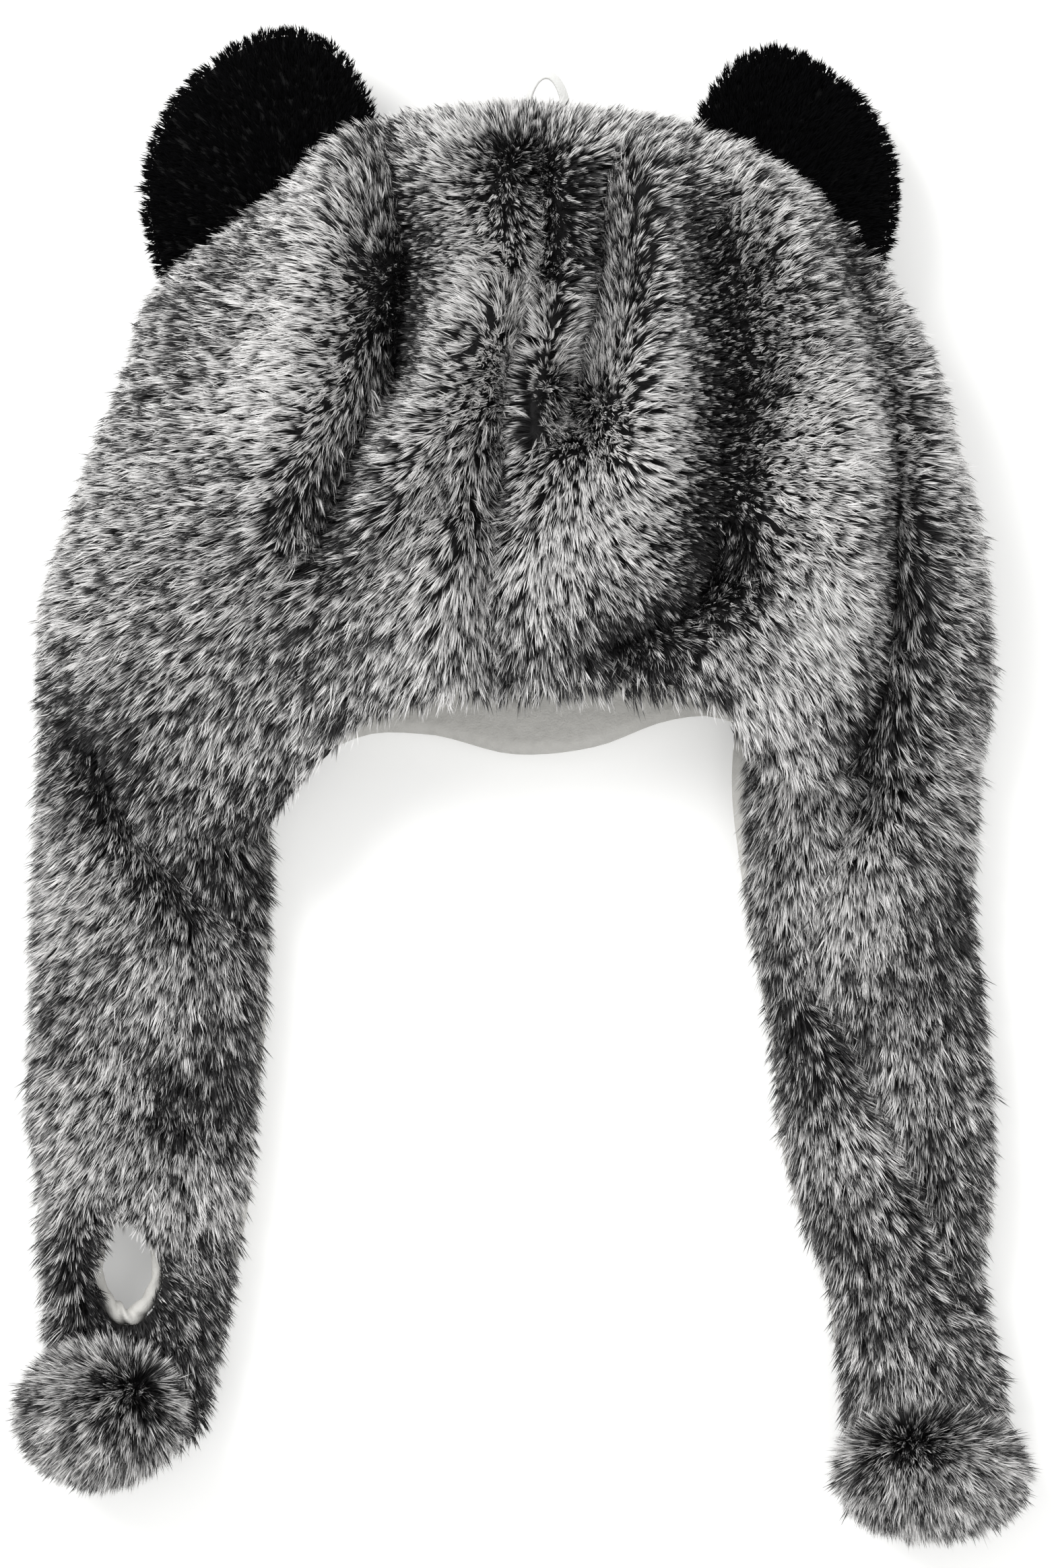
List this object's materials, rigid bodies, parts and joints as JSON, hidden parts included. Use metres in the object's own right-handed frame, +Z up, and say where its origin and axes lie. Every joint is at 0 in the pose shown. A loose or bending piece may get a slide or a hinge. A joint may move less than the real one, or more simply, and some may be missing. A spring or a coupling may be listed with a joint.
{
  "type": "plush animal hat",
  "caption": "Soft animal hat lying on its back: shaggy silver-grey fur crown, black plush ears, pale fleece lining, hang loop, long fur ear flaps with a pull-through slot and end pompoms.",
  "frame": {"origin": "middle of the crown's flattened back, on the surface that the hat lies on", "axes": "+X across the front as it is seen from above, +Y from the pompoms to the top of the crown, +Z up from the surface through the front of the hat"},
  "size_m": [0.3408, 0.5087, 0.0856],
  "materials": {
    "silver_fur": "deep two-tone faux fur, near-black at the roots and silver-white at the tips",
    "black_plush": "short matte black pile",
    "fleece": "brushed pale fleece",
    "tape": "narrow woven white tape"
  },
  "bodies": {
    "root": {"crown": "silver_fur", "crown_lining": "fleece", "ear_left": "black_plush", "ear_right": "black_plush", "flap_left": "silver_fur", "flap_right": "silver_fur", "flap_lining_left": "fleece", "flap_lining_right": "fleece", "slot_binding": "fleece", "pompom_left": "silver_fur", "pompom_right": "silver_fur", "hang_loop": "tape"}
  },
  "joints": []
}
